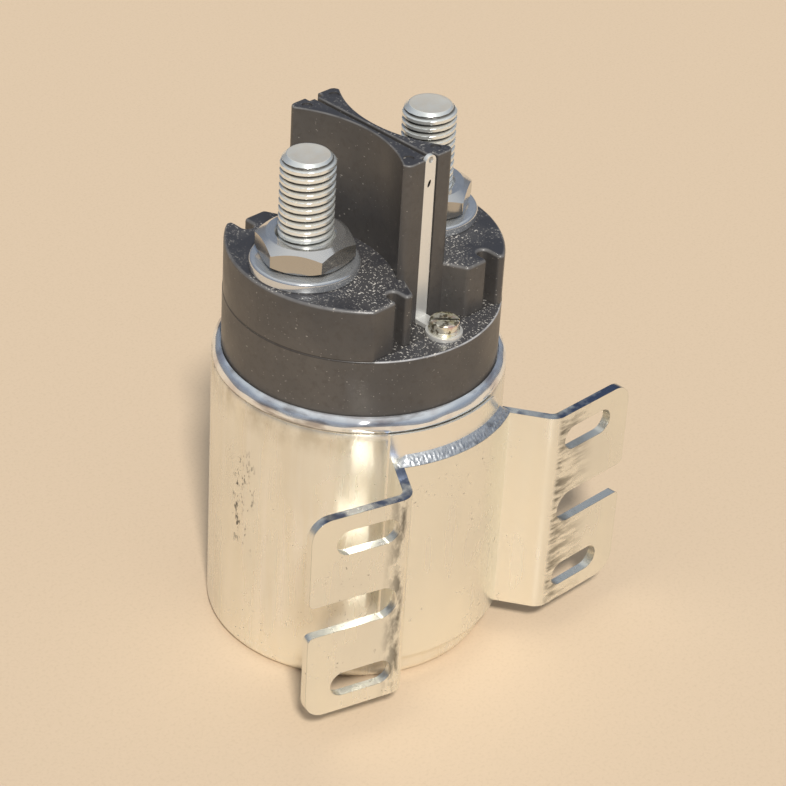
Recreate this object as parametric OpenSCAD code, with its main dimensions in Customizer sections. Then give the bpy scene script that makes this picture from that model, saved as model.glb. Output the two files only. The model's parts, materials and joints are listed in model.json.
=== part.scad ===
// Direct-current power relay: a plated steel can with a coil and a plunger, a moulded cap with
// two threaded studs and a tall divider, and a mounting bracket wrapped round the front.
// Origin: centre of the can's flat bottom. +Z is up, the studs stand on the X axis, and the
// bracket and the blade terminal face -Y.

/* [Can] */
// Outside diameter of the can
can_d = 55; // [53:0.5:58]
// Height of the can from its bottom to the top of the rolled rim
can_h = 58.9; // [58:0.1:66]
// Wall of the can
can_wall = 1.4; // [1.2:0.1:1.8]
// Floor of the can
can_floor = 1.6; // [1.2:0.1:2.2]
// Outside radius of the edge round the bottom
can_edge_r = 1.8; // [0.8:0.1:3]
// Depth of the thinned rim that is rolled over the cap's flange
rim_depth = 2.9; // [2.6:0.1:3.6]
// Wall of the thinned rim
rim_wall = 0.7; // [0.5:0.05:0.8]
// Outside radius of the roll
rim_round_r = 2.2; // [1.6:0.1:2.3]

/* [Cap] */
// Diameter of the cap above the rim
cap_d = 51.5; // [50.5:0.1:51.7]
// Height of the two lobes above the rim
lobe_h = 21.5; // [18:0.5:26]
// Height of the recess floor above the rim
recess_h = 11.2; // [10.6:0.1:13]
// Length of the spigot below the gasket's seat
spigot_h = 1.6; // [1:0.1:2]
// Wall round the contact chamber
cap_wall = 2.4; // [1.8:0.1:3]
// Thickness of the recess floor
cap_roof = 1.9; // [1.5:0.1:2.6]
// Radius of the lobes' outer top edge
lobe_edge_r = 0.6; // [0.2:0.1:1]
// Distance from the axis to the flat front of the lobes
lobe_front = 19.6; // [18.6:0.1:20.6]
// Width of the channel between the lobes at the divider
channel_in_w = 9.6; // [8:0.1:11]
// Width of the channel between the lobes at their front
channel_out_w = 14; // [12:0.1:16]
// Width of the notches in the lobes
notch_w = 2.4; // [1.5:0.1:3]
// Depth of the notches in the lobes
notch_depth = 3.4; // [2:0.1:4.5]
// Distance from the middle to the notch beside a pillar
pillar_notch_x = 9.9; // [9.5:0.1:11]
// Distance from the middle to the notch beside a horn
horn_notch_x = 13.1; // [12:0.1:14]
// Thickness of the gasket under the cap's flange
gasket_t = 0.4; // [0.3:0.05:0.8]

/* [Divider] */
// Height of the divider above the lobes
divider_h = 23; // [16:0.5:28]
// Length of the divider across the cap
divider_l = 30.6; // [29:0.2:32]
// Thickness of the divider at its waist
divider_waist = 2.5; // [2.2:0.1:3.5]
// Width of the divider at its two ends
divider_end_w = 11.4; // [10:0.1:12.6]
// Radius of the hollow sides
divider_side_r = 24; // [21:0.5:30]
// Radius of the divider's upright corners
divider_corner_r = 1.35; // [0.6:0.05:1.8]
// Width of the slot between the two leaves
leaf_gap = 0.8; // [0.5:0.1:1.1]
// Depth of the slot between the two leaves
leaf_gap_depth = 20; // [10:0.5:22]

/* [Studs] */
// Distance between the two studs
stud_pitch = 30.2; // [29:0.1:31]
// Outside diameter of the stud thread
stud_d = 10; // [8:0.5:10]
// Height of the stud above the lobes
stud_h = 22.6; // [17:0.5:28]
// Chamfer of the stud's tip
stud_chamfer = 1.1; // [0.5:0.1:1.5]
// Diameter of the head inside the cap
stud_head_d = 15; // [13:0.5:16]
// Thickness of the head inside the cap
stud_head_t = 2.4; // [1.8:0.1:2.8]
// Width across the flats of the nut
nut_af = 16; // [15:0.5:17]
// Thickness of the nut
nut_t = 5; // [4:0.5:8]
// Depth of the thread, which sets the nut's bore and the stud's neck inside the nut
thread_depth = 0.75; // [0.5:0.05:0.9]
// Length of the neck between the nut and the free thread
neck_stand = 0.5; // [0.2:0.1:1]
// Angle of a corner of the left nut from the line of the studs
nut_turn_left = 5.5; // [0:0.5:60]
// Angle of a corner of the right nut from the line of the studs
nut_turn_right = 33.7; // [0:0.1:60]
// Diameter of the washer
washer_d = 20; // [18:0.5:20.5]
// Thickness of the washer
washer_t = 2; // [1:0.1:2.5]
// Chamfer of the washer's upper edge
washer_chamfer = 0.5; // [0.2:0.1:0.8]

/* [Terminals] */
// Distance from the axis to the small terminal screws
terminal_y = 21; // [20.6:0.1:21.2]
// Thread diameter of the terminal screw
screw_d = 3; // [2.5:0.1:3.2]
// Length of the terminal screw under its head
screw_l = 6.3; // [5:0.1:6.8]
// Diameter of the terminal screw's head
screw_head_d = 5.7; // [5:0.1:6.4]
// Thickness of the terminal screw's head
screw_head_t = 2.3; // [1.5:0.1:2.6]
// Width of the driver's slot in the screw
driver_w = 0.8; // [0.6:0.1:1.1]
// Depth of the driver's slot in the screw
driver_depth = 1; // [0.6:0.1:1.4]
// Angle of the driver's slot from the line of the studs
driver_angle = -42; // [-90:1:90]
// Width of the blade
blade_w = 2.8; // [2:0.1:3.2]
// Thickness of the blade and its ring
blade_t = 0.8; // [0.5:0.1:1]
// Height of the blade above the divider
blade_stand = 0.4; // [0:0.1:2]
// Diameter of the ring under the screw
ring_d = 6.8; // [6.6:0.1:8.4]
// Diameter of the threaded insert
insert_d = 5; // [4.4:0.1:5.4]
// Length of the threaded insert
insert_l = 7.8; // [7:0.1:8]
// Floor of the threaded insert
insert_floor = 1.4; // [1:0.1:1.8]
// Wall of the cap round the insert
boss_wall = 1.5; // [1:0.1:1.8]

/* [Bracket] */
// Thickness of the bracket plate
bracket_t = 1.8; // [1.4:0.1:2.2]
// Height of the bracket
bracket_h = 43.6; // [42.6:0.2:46]
// Height of the bracket's lower edge above the can's bottom
bracket_z = 6.2; // [4:0.2:6.6]
// Half of the angle that the saddle wraps round the can
saddle_half = 29.3; // [27:0.1:32]
// Angle of the webs from straight ahead
web_angle = 33; // [28:0.5:37]
// Length of the webs along their middle
web_l = 9.4; // [8.4:0.1:12]
// Inside radius of the bend to the flange
bend_r = 1.6; // [1:0.1:2.2]
// Width of a flange from its corner to its outer edge
flange_w = 20.4; // [19.4:0.2:24]
// Angle that the left flange is bent back
left_splay = 15.8; // [0:0.1:20]
// Angle that the right flange is bent back
right_splay = 0; // [0:0.1:20]
// Radius of the flanges' outer corners
flange_corner_r = 4; // [2:0.1:5]
// Length of the closed slots
slot_l = 12.6; // [9:0.1:13]
// Width of the closed slots
slot_w = 5.2; // [4.2:0.1:6]
// Height between the open notch and each closed slot, middle to middle
slot_step = 15.9; // [14.4:0.1:16.4]
// Distance from the flange's corner to the middle of the closed slots
slot_u = 9; // [8.6:0.1:10.5]
// Width of the open notch
mouth_w = 6.7; // [5:0.1:7.5]
// Distance from the flange's corner to the closed end of the open notch
mouth_u = 2.3; // [1.8:0.1:5]
// Radius of the corners at the open end of the notch
mouth_corner_r = 1.2; // [0.6:0.1:2]
// Thickness of the pad between the can and the saddle
pad_t = 0.5; // [0.3:0.1:1]
// Height that the pad stands above the bracket
pad_rise = 6.1; // [4.5:0.1:6.2]
// Angle from straight ahead to the pad's left edge
pad_left = 32.5; // [31:0.5:36]
// Angle from straight ahead to the pad's right edge
pad_right = 23.5; // [20:0.5:27]
// Radius of the pad's upper right corner
pad_corner_r = 4; // [1:0.5:4]
// Height of the weld's fillet
weld_rise = 1.8; // [1:0.1:2.5]

/* [Coil] */
// Diameter of the plunger and of the pole core
plunger_d = 15.6; // [14:0.1:16.6]
// Travel of the plunger
plunger_travel = 4; // [3.2:0.1:4.2]
// Travel of the bridge until it meets the studs
bridge_travel = 3; // [2:0.1:3]
// Thickness of the cushion under the plunger
cushion_t = 0.8; // [0.5:0.1:1.2]
// Outside diameter of the winding
winding_d = 45; // [44:0.5:47]
// Thickness of the tape round the winding
tape_t = 0.4; // [0.2:0.1:1]
// Thickness of the bobbin's flanges
bobbin_flange_t = 1.6; // [1.2:0.1:2.2]
// Wall of the bobbin's tube
bobbin_wall = 1; // [0.8:0.1:1.6]
// Wall of the brass guide tube
guide_wall = 0.45; // [0.3:0.05:0.8]
// Thickness of the steel yoke plate
yoke_t = 2.8; // [2:0.1:3.2]
// Length of the pole core below the yoke plate
core_l = 18.4; // [14:0.2:24]
// Step of the core where it is staked in the yoke plate
core_step = 1; // [0.6:0.1:1.4]
// Diameter of the push rod
rod_d = 4.5; // [3.5:0.1:5]
// Length of the push rod held in the plunger
rod_grip = 8; // [5:0.5:12]
// Diameter of the coil leads with their insulation
lead_d = 1.8; // [1.2:0.1:2]
// Wall of the grommets round the leads
grommet_wall = 0.6; // [0.4:0.1:0.8]
// Width and thickness of the grommets' lip
grommet_lip = 0.4; // [0.3:0.1:0.5]

/* [Contacts] */
// Length of the contact bridge
bridge_l = 40; // [38:0.5:42]
// Width of the contact bridge
bridge_w = 12; // [10:0.5:14]
// Thickness of the contact bridge
bridge_t = 2; // [1.5:0.1:2.2]
// Thickness of the insulating washer and of the bush's wall and flange
insulator_t = 0.8; // [0.6:0.1:1]
// Diameter of the insulating washer and of the bush's flange
insulator_d = 9.6; // [9:0.1:10.4]
// Thickness of the retainer on the rod
retainer_t = 0.8; // [0.6:0.1:1.2]
// Length of the rod above the retainer
rod_end_l = 0.8; // [0.4:0.1:1.5]
// Height of the rod's collar above the yoke plate
collar_rise = 0.6; // [0.3:0.1:0.8]
// Thickness of the rod's collar
collar_t = 1; // [0.8:0.1:1.2]
// Diameter of the rod's collar
collar_d = 9; // [8.4:0.1:10]
// Height of the spring pocket above the contact chamber
pocket_depth = 6.2; // [6:0.1:8]
// Diameter of the spring pocket
pocket_d = 12; // [11.4:0.1:13]
// Wire of the return spring
return_wire = 0.8; // [0.6:0.05:0.9]
// Turns of the return spring
return_turns = 5; // [3:1:6]
// Wire of the contact spring
contact_wire = 0.7; // [0.5:0.05:0.8]
// Turns of the contact spring
contact_turns = 3; // [2:1:3]

/* [Hidden] */
$fn = 96;

// Overrun of cuts, overlap of joined shapes, and the clearances
over = 1;
fuse = 0.4;
slide_gap = 0.08;
seat_gap = 0.04;
loose_gap = 0.2;

// Can and rim
can_r = can_d / 2;
can_in_r = can_r - can_wall;
rim_in_r = can_r - rim_wall;
rim_z = can_h - rim_depth;
rim_top_in = can_h - rim_wall;
rim_in_round_r = rim_round_r - rim_wall;

// Cap and yoke plate
cap_r = cap_d / 2;
chamber_r = cap_r - cap_wall;
spigot_r = can_in_r - slide_gap;
flange_z = rim_z + gasket_t;
yoke_top = rim_z - spigot_h;
yoke_z = yoke_top - yoke_t;
lobe_z = can_h + lobe_h;
recess_z = can_h + recess_h;
ceiling_z = recess_z - cap_roof;
divider_z = lobe_z + divider_h;
pocket_top = ceiling_z + pocket_depth;

// Studs and the moving contacts at rest
stud_x = stud_pitch / 2;
stud_top = lobe_z + stud_h;
nut_z = lobe_z + washer_t;
nut_bore_r = stud_d / 2 - thread_depth;
free_thread_z = nut_z + nut_t + neck_stand;
contact_face = ceiling_z - stud_head_t;
bridge_top = contact_face - bridge_travel - seat_gap;
bridge_z = bridge_top - bridge_t;
bush_z = bridge_z - insulator_t;
bridge_washer_top = bridge_top + insulator_t;
retainer_z = bridge_washer_top + seat_gap;
retainer_top = retainer_z + retainer_t;
rod_top = retainer_top + rod_end_l;
collar_z = yoke_top + collar_rise;
collar_top = collar_z + collar_t;

// Plunger and core
core_r = plunger_d / 2;
core_z = yoke_z - core_l;
core_neck_r = core_r - core_step;
plunger_z = can_floor + cushion_t + seat_gap;
plunger_top = core_z - plunger_travel - loose_gap;
rod_r = rod_d / 2;
rod_bore_r = rod_r + slide_gap;
bush_r = rod_bore_r + insulator_t;
spring_r = rod_r + return_wire + loose_gap;

// Bobbin and winding
guide_in_r = core_r + slide_gap;
guide_out_r = guide_in_r + guide_wall;
bobbin_in_r = guide_out_r + seat_gap;
bobbin_out_r = bobbin_in_r + bobbin_wall;
bobbin_h = yoke_z - can_floor;
bobbin_flange_r = can_in_r - loose_gap;
winding_r = winding_d / 2;
winding_z = can_floor + bobbin_flange_t + seat_gap;
winding_top = yoke_z - bobbin_flange_t - seat_gap;
winding_h = winding_top - winding_z;

// Leads and terminals
lead_r = lead_d / 2;
lead_hole_r = lead_r + seat_gap;
grommet_r = lead_hole_r + grommet_wall;
insert_z = recess_z - insert_l;
insert_r = insert_d / 2;
boss_z = insert_z - boss_wall;
boss_r = insert_r + boss_wall;
blade_seat_w = blade_w + 2 * loose_gap;
blade_seat_depth = blade_t + 2 * loose_gap;
blade_front = divider_l / 2 - loose_gap;
blade_top = divider_z + blade_stand;
screw_hole_r = screw_d / 2 + loose_gap;

// Bracket
pad_out_r = can_r + pad_t;
saddle_out_r = pad_out_r + bracket_t;
saddle_mid_r = pad_out_r + bracket_t / 2;
bend_mid_r = bend_r + bracket_t / 2;
bracket_top = bracket_z + bracket_h;
bracket_mid = bracket_z + bracket_h / 2;
cut_t = 4 * bracket_t;
// Straight steps in each bend of the bracket's outline
bend_steps = 16;

function polar(r, a) = [r * cos(a), r * sin(a)];
function along(p, a, d) = [p[0] + d * cos(a), p[1] + d * sin(a)];
function arc_points(p, r, a, b) =
  [for (i = [0:bend_steps]) along(p, a + (b - a) * i / bend_steps, r)];

module disc_at(z, radius, height) {
  translate([0, 0, z]) cylinder(r = radius, h = height);
}

module ring_at(z, outer, inner, height) {
  difference() {
    disc_at(z, outer, height);
    disc_at(z - over, inner, height + 2 * over);
  }
}

module both_ends() {
  children();
  rotate([0, 0, 180]) children();
}

// Ring sector in plan between two angles that are less than half a turn apart
module sector(outer, inner, a, b) {
  far = (outer + over) / cos((b - a) / 2);
  intersection() {
    difference() {
      circle(r = outer);
      circle(r = inner);
    }
    polygon([[0, 0], polar(far, a), polar(far, (a + b) / 2), polar(far, b)]);
  }
}

// Half section of a disc whose upper edge is rounded
module rounded_profile(radius, z0, z1, edge_r) {
  translate([0, z0]) square([radius, z1 - edge_r - z0]);
  translate([0, z0]) square([radius - edge_r, z1 - z0]);
  intersection() {
    translate([radius - edge_r, z1 - edge_r]) circle(r = edge_r);
    translate([0, z0]) square([radius, z1 - z0]);
  }
}

// Half section of the can: round bottom edge, shoulder for the cap, rim rolled over the flange
module can_profile() {
  difference() {
    union() {
      rounded_profile(can_r, can_edge_r, can_h, rim_round_r);
      square([can_r - can_edge_r, can_h / 2]);
      translate([can_r - can_edge_r, can_edge_r]) circle(r = can_edge_r);
    }
    translate([-over, can_floor]) square([can_in_r + over, rim_z - can_floor]);
    rounded_profile(rim_in_r, rim_z, rim_top_in, rim_in_round_r);
    translate([-over, rim_z - over]) square([cap_r + loose_gap + over, can_h]);
  }
}

module can() {
  color([0.80, 0.77, 0.70]) rotate_extrude() can_profile();
}

// One arm of the bracket: web, bend and flange; side is 1 for right and -1 for left
module arm(side, splay) {
  turn = 90 - web_angle + splay;
  web_dir = -90 + side * web_angle;
  flange_dir = side > 0 ? splay : -180 - splay;
  web_side = web_dir - side * 90;
  flange_side = flange_dir - side * 90;
  half_t = bracket_t / 2;
  tangent = bend_mid_r * tan(turn / 2);
  root = polar(saddle_mid_r, -90 + side * saddle_half);
  back = along(root, web_dir, -half_t);
  corner = along(root, web_dir, web_l);
  bend_centre = along(along(corner, web_dir, -tangent), web_side, -bend_mid_r);
  end = along(corner, flange_dir, flange_w - half_t * tan(turn / 2));
  linear_extrude(bracket_h) polygon(concat([along(back, web_side, half_t)],
    arc_points(bend_centre, bend_r + bracket_t, web_side, flange_side),
    [along(end, flange_side, half_t), along(end, flange_side, -half_t)],
    arc_points(bend_centre, bend_r, flange_side, web_side), [along(back, web_side, -half_t)]));
}

// Puts children in a flange's own frame: X out along the flange from its corner, Z up
module on_flange(side, splay) {
  turn = 90 - web_angle + splay;
  flange_dir = side > 0 ? splay : -180 - splay;
  root = polar(saddle_mid_r, -90 + side * saddle_half);
  corner = along(root, -90 + side * web_angle, web_l);
  start = along(corner, flange_dir, -bracket_t / 2 * tan(turn / 2));
  translate([start[0], start[1], 0]) rotate([0, 0, flange_dir]) children();
}

// Slot through a flange, centred at the origin
module slot_cut(length, width) {
  straight = length - width;
  for (s = [-1, 1])
    translate([s * straight / 2, cut_t / 2, 0]) rotate([90, 0, 0]) cylinder(d = width, h = cut_t);
  translate([-straight / 2, -cut_t / 2, -width / 2]) cube([straight, cut_t, width]);
}

// Removes what lies outside a rounded outer corner; rise is 1 at an upper and -1 at a lower edge
module corner_cut(z, radius, rise) {
  translate([flange_w - radius, 0, z - rise * radius]) difference() {
    translate([0, -cut_t / 2, rise > 0 ? 0 : -radius - over])
      cube([radius + over, cut_t, radius + over]);
    translate([0, cut_t / 2 + over, 0]) rotate([90, 0, 0])
      cylinder(r = radius, h = cut_t + 2 * over);
  }
}

module flange_cuts() {
  mouth_centre = mouth_u + mouth_w / 2;
  for (s = [-1, 1]) {
    translate([slot_u, 0, bracket_mid + s * slot_step]) slot_cut(slot_l, slot_w);
    corner_cut(bracket_mid + s * bracket_h / 2, flange_corner_r, s);
    corner_cut(bracket_mid + s * mouth_w / 2, mouth_corner_r, -s);
  }
  translate([mouth_centre, cut_t / 2, bracket_mid]) rotate([90, 0, 0])
    cylinder(d = mouth_w, h = cut_t);
  translate([mouth_centre, -cut_t / 2, bracket_mid - mouth_w / 2])
    cube([flange_w - mouth_centre + over, cut_t, mouth_w]);
}

// Steel mounting bracket: saddle, two webs and two slotted flanges bent from one plate
module bracket() {
  color([0.82, 0.80, 0.74]) difference() {
    translate([0, 0, bracket_z]) {
      linear_extrude(bracket_h)
        sector(saddle_out_r, pad_out_r, -90 - saddle_half, -90 + saddle_half);
      arm(-1, left_splay);
      arm(1, right_splay);
    }
    on_flange(-1, left_splay) flange_cuts();
    on_flange(1, right_splay) flange_cuts();
    disc_at(bracket_z - over, pad_out_r, bracket_h + 2 * over);
  }
}

// Thin curved plate between the can and the saddle
module bracket_pad() {
  pad_h = bracket_h + pad_rise;
  x_left = -pad_out_r * sin(pad_left);
  x_right = pad_out_r * sin(pad_right);
  color([0.83, 0.81, 0.75]) intersection() {
    ring_at(bracket_z, pad_out_r, can_r, pad_h);
    translate([0, 0, bracket_z]) rotate([90, 0, 0]) linear_extrude(can_d) {
      translate([x_left, 0]) square([x_right - x_left, pad_h - pad_corner_r]);
      translate([x_left, 0]) square([x_right - x_left - pad_corner_r, pad_h]);
      translate([x_right - pad_corner_r, pad_h - pad_corner_r]) circle(r = pad_corner_r);
    }
  }
}

// Fillet of weld metal along the saddle's top edge
module bracket_weld() {
  color([0.72, 0.71, 0.69]) intersection() {
    rotate_extrude() polygon([[pad_out_r, bracket_top], [saddle_out_r, bracket_top],
      [pad_out_r, bracket_top + weld_rise]]);
    translate([0, 0, bracket_top - over]) linear_extrude(weld_rise + 2 * over)
      sector(saddle_out_r + over, can_r, -90 - saddle_half, -90 + saddle_half);
  }
}

// Plan of the recess in front of the lobes, at the -Y end
module recess_plan() {
  notch_y = lobe_front + notch_w / 2 - notch_depth;
  polygon([[-channel_in_w / 2, -divider_l / 2], [channel_in_w / 2, -divider_l / 2],
    [channel_out_w / 2, -lobe_front], [channel_out_w / 2, -can_r],
    [-channel_out_w / 2, -can_r], [-channel_out_w / 2, -lobe_front]]);
  translate([-can_r, -can_r])
    square([can_r + horn_notch_x + notch_w / 2, can_r - lobe_front]);
  for (x = [-pillar_notch_x, horn_notch_x]) {
    translate([x, -notch_y]) circle(d = notch_w);
    translate([x - notch_w / 2, -can_r]) square([notch_w, can_r - notch_y]);
  }
  ring_room_plan();
}

// Room round the ring under a terminal screw, at the -Y end
module ring_room_plan() {
  translate([0, -terminal_y]) circle(d = ring_d + 2 * loose_gap);
}

// Plan of the divider, without its slot
module divider_plan() {
  corner_x = divider_end_w / 2 - divider_corner_r;
  corner_y = divider_l / 2 - divider_corner_r;
  difference() {
    union() {
      square([divider_end_w, 2 * corner_y], center = true);
      square([2 * corner_x, divider_l], center = true);
      for (sx = [-1, 1]) for (sy = [-1, 1])
        translate([sx * corner_x, sy * corner_y]) circle(r = divider_corner_r);
    }
    for (s = [-1, 1]) translate([s * (divider_waist / 2 + divider_side_r), 0])
      circle(r = divider_side_r);
    both_ends() ring_room_plan();
  }
}

// Room round the stud heads and the bridge; wall is what the cap keeps round it
module contact_room(z, height, wall) {
  reach_x = bridge_l / 2 + loose_gap + wall;
  reach_y = bridge_w / 2 + loose_gap + wall;
  for (s = [-1, 1]) translate([s * stud_x, 0, 0])
    disc_at(z, stud_head_d / 2 + loose_gap + wall, height);
  translate([-reach_x, -reach_y, z]) cube([2 * reach_x, 2 * reach_y, height]);
}

// Outside of the cap: spigot, flange under the rim, skirt with two lobes, and the divider
module cap_outer() {
  difference() {
    union() {
      contact_room(flange_z, recess_z - flange_z, cap_wall);
      both_ends() translate([0, -terminal_y, 0]) disc_at(flange_z, boss_r, recess_z - flange_z);
      disc_at(yoke_top, spigot_r, flange_z - yoke_top + fuse);
      rotate_extrude() rounded_profile(rim_in_r - seat_gap, flange_z, rim_top_in - seat_gap,
        rim_in_round_r);
      rotate_extrude() rounded_profile(cap_r, flange_z, lobe_z, lobe_edge_r);
    }
    both_ends() translate([0, 0, recess_z]) linear_extrude(lobe_h) recess_plan();
  }
  translate([0, 0, recess_z - fuse]) linear_extrude(divider_z - recess_z + fuse) divider_plan();
}

// Contact chamber with the bosses of the inserts left standing in it
module chamber() {
  difference() {
    union() {
      disc_at(yoke_top - over, chamber_r, ceiling_z - yoke_top + over);
      contact_room(yoke_top - over, ceiling_z - yoke_top + over, 0);
      both_ends() translate([0, -terminal_y, 0])
        disc_at(yoke_top - over, grommet_r + grommet_lip + loose_gap, grommet_lip + 2 * over);
    }
    both_ends() translate([0, -terminal_y, 0]) disc_at(boss_z, boss_r, ceiling_z);
  }
}

// Moulded cap
module cap() {
  color([0.17, 0.155, 0.15]) difference() {
    cap_outer();
    chamber();
    disc_at(ceiling_z - over, pocket_d / 2, pocket_depth + over);
    for (s = [-1, 1]) translate([s * stud_x, 0, 0])
      disc_at(ceiling_z - over, stud_d / 2 + seat_gap, lobe_z);
    both_ends() translate([0, -terminal_y, 0]) {
      disc_at(insert_z, insert_r, insert_l + over);
      disc_at(yoke_top - over, lead_hole_r, insert_z - yoke_top + 2 * over);
    }
    translate([-leaf_gap / 2, -divider_l, divider_z - leaf_gap_depth])
      cube([leaf_gap, 2 * divider_l, leaf_gap_depth + over]);
    both_ends() translate([-blade_seat_w / 2, -divider_l / 2 - over, recess_z])
      cube([blade_seat_w, blade_seat_depth + over, divider_z - recess_z + over]);
  }
}

// Sealing ring under the cap's flange
module cap_gasket() {
  color([0.12, 0.12, 0.12])
    ring_at(rim_z, rim_in_r - seat_gap, spigot_r + seat_gap, gasket_t);
}

module lead_places() {
  for (s = [-1, 1]) translate([0, s * terminal_y, 0]) children();
}

// Steel plate that closes the magnetic circuit, with the core staked in it
module yoke_plate() {
  color([0.62, 0.62, 0.60]) difference() {
    disc_at(yoke_z, can_in_r - slide_gap, yoke_t);
    disc_at(yoke_z - over, core_neck_r, yoke_t + 2 * over);
    lead_places() disc_at(yoke_z - over, grommet_r, yoke_t + 2 * over);
  }
}

// Moulded bobbin
module bobbin() {
  color([0.90, 0.88, 0.80]) difference() {
    union() {
      disc_at(can_floor, bobbin_flange_r, bobbin_flange_t);
      disc_at(can_floor, bobbin_out_r, bobbin_h);
      disc_at(yoke_z - bobbin_flange_t, bobbin_flange_r, bobbin_flange_t);
    }
    disc_at(can_floor - over, bobbin_in_r, bobbin_h + 2 * over);
    lead_places() disc_at(winding_top - over, lead_hole_r, yoke_z - winding_top + 2 * over);
  }
}

// Enamelled copper winding
module coil_winding() {
  color([0.70, 0.36, 0.18])
    ring_at(winding_z, winding_r, bobbin_out_r + seat_gap, winding_h);
}

// Tape wrapped round the winding
module coil_tape() {
  color([0.85, 0.75, 0.35])
    ring_at(winding_z, winding_r + seat_gap + tape_t, winding_r + seat_gap, winding_h);
}

// Brass tube that guides the plunger
module guide_tube() {
  color([0.78, 0.64, 0.32]) ring_at(can_floor, guide_out_r, guide_in_r, bobbin_h);
}

// Fixed steel core with the bore for the push rod
module pole_core() {
  color([0.60, 0.60, 0.58]) difference() {
    union() {
      disc_at(core_z, core_r, core_l);
      disc_at(yoke_z - fuse, core_neck_r - seat_gap, yoke_t + fuse);
    }
    disc_at(core_z - over, rod_bore_r, core_l + yoke_t + 2 * over);
  }
}

// Cushion that the plunger rests on
module plunger_cushion() {
  color([0.15, 0.15, 0.15]) disc_at(can_floor, core_r - loose_gap, cushion_t);
}

// Two insulated leads from the winding to the terminal inserts
module coil_leads() {
  color([0.75, 0.12, 0.10]) lead_places()
    disc_at(winding_top, lead_r, insert_z - winding_top);
}

// Insulating grommets where the leads pass the yoke plate
module lead_grommets() {
  color([0.88, 0.86, 0.80]) lead_places() difference() {
    union() {
      disc_at(yoke_z, grommet_r - seat_gap, yoke_t + fuse);
      disc_at(yoke_top, grommet_r + grommet_lip, grommet_lip);
    }
    disc_at(yoke_z - over, lead_hole_r, yoke_t + 2 * over);
  }
}

// Brass inserts moulded into the cap for the terminal screws
module terminal_inserts() {
  color([0.78, 0.62, 0.30]) both_ends() translate([0, -terminal_y, 0]) difference() {
    disc_at(insert_z, insert_r, insert_l);
    disc_at(insert_z + insert_floor, screw_d / 2 + seat_gap, insert_l);
  }
}

// Slotted cheese-head screws
module terminal_screws() {
  head_z = recess_z + blade_t;
  head_top = head_z + screw_head_t;
  color([0.86, 0.82, 0.62]) both_ends() translate([0, -terminal_y, 0]) difference() {
    union() {
      disc_at(head_z, screw_head_d / 2, screw_head_t);
      disc_at(head_z - screw_l, screw_d / 2, screw_l + fuse);
    }
    rotate([0, 0, driver_angle]) translate([-screw_head_d, -driver_w / 2, head_top - driver_depth])
      cube([2 * screw_head_d, driver_w, driver_depth + over]);
  }
}

// Flat blade up the divider's front end, bent out to a ring under the front screw
module terminal_blade() {
  tip_z = blade_top - blade_w / 2;
  color([0.87, 0.85, 0.80]) difference() {
    union() {
      translate([-blade_w / 2, -blade_front, recess_z]) cube([blade_w, blade_t, tip_z - recess_z]);
      translate([0, -blade_front + blade_t, tip_z]) rotate([90, 0, 0])
        cylinder(d = blade_w, h = blade_t);
      translate([-blade_w / 2, -terminal_y, recess_z])
        cube([blade_w, terminal_y - blade_front + blade_t, blade_t]);
      translate([0, -terminal_y, recess_z]) cylinder(d = ring_d, h = blade_t);
    }
    translate([0, -terminal_y, 0]) disc_at(recess_z - over, screw_hole_r, blade_t + 2 * over);
  }
}

// Plain washer under the rear screw
module terminal_washer() {
  color([0.84, 0.83, 0.80]) translate([0, terminal_y, 0])
    ring_at(recess_z, ring_d / 2, screw_hole_r, blade_t);
}

// Threaded stud with a contact head inside the cap
module stud() {
  shank_z = ceiling_z - fuse;
  color([0.83, 0.81, 0.76]) union() {
    disc_at(contact_face, stud_head_d / 2, stud_head_t);
    disc_at(shank_z, stud_d / 2, nut_z - seat_gap - shank_z);
    disc_at(nut_z - fuse, nut_bore_r - seat_gap, free_thread_z - nut_z + 2 * fuse);
    disc_at(free_thread_z, stud_d / 2, stud_top - stud_chamfer - free_thread_z);
    translate([0, 0, stud_top - stud_chamfer])
      cylinder(r1 = stud_d / 2, r2 = stud_d / 2 - stud_chamfer, h = stud_chamfer);
  }
}

module stud_left() {
  translate([-stud_x, 0, 0]) stud();
}

module stud_right() {
  translate([stud_x, 0, 0]) stud();
}

// Thin hexagon nut with chamfered upper corners
module nut(turn) {
  corner_r = nut_af / 2 / cos(30);
  bevel = (corner_r - nut_af / 2) * tan(30);
  difference() {
    intersection() {
      rotate([0, 0, turn]) cylinder(r = corner_r, h = nut_t, $fn = 6);
      union() {
        cylinder(r = corner_r + over, h = nut_t - bevel);
        translate([0, 0, nut_t - bevel]) cylinder(r1 = corner_r, r2 = nut_af / 2, h = bevel);
      }
    }
    translate([0, 0, -over]) cylinder(r = nut_bore_r, h = nut_t + 2 * over);
  }
}

module stud_nuts() {
  color([0.84, 0.82, 0.77]) {
    translate([-stud_x, 0, nut_z]) nut(nut_turn_left);
    translate([stud_x, 0, nut_z]) nut(nut_turn_right);
  }
}

// Flat washers under the nuts
module stud_washers() {
  rim = washer_t - washer_chamfer;
  color([0.83, 0.81, 0.77]) for (s = [-1, 1])
    translate([s * stud_x, 0, lobe_z]) difference() {
      union() {
        cylinder(d = washer_d, h = rim);
        translate([0, 0, rim])
          cylinder(r1 = washer_d / 2, r2 = washer_d / 2 - washer_chamfer, h = washer_chamfer);
      }
      translate([0, 0, -over]) cylinder(r = stud_d / 2 + loose_gap, h = washer_t + 2 * over);
    }
}

// Steel plunger with the blind hole for the rod
module plunger() {
  color([0.66, 0.66, 0.64]) difference() {
    disc_at(plunger_z, core_r, plunger_top - plunger_z);
    disc_at(plunger_top - rod_grip, rod_r + seat_gap, rod_grip + over);
  }
}

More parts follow.
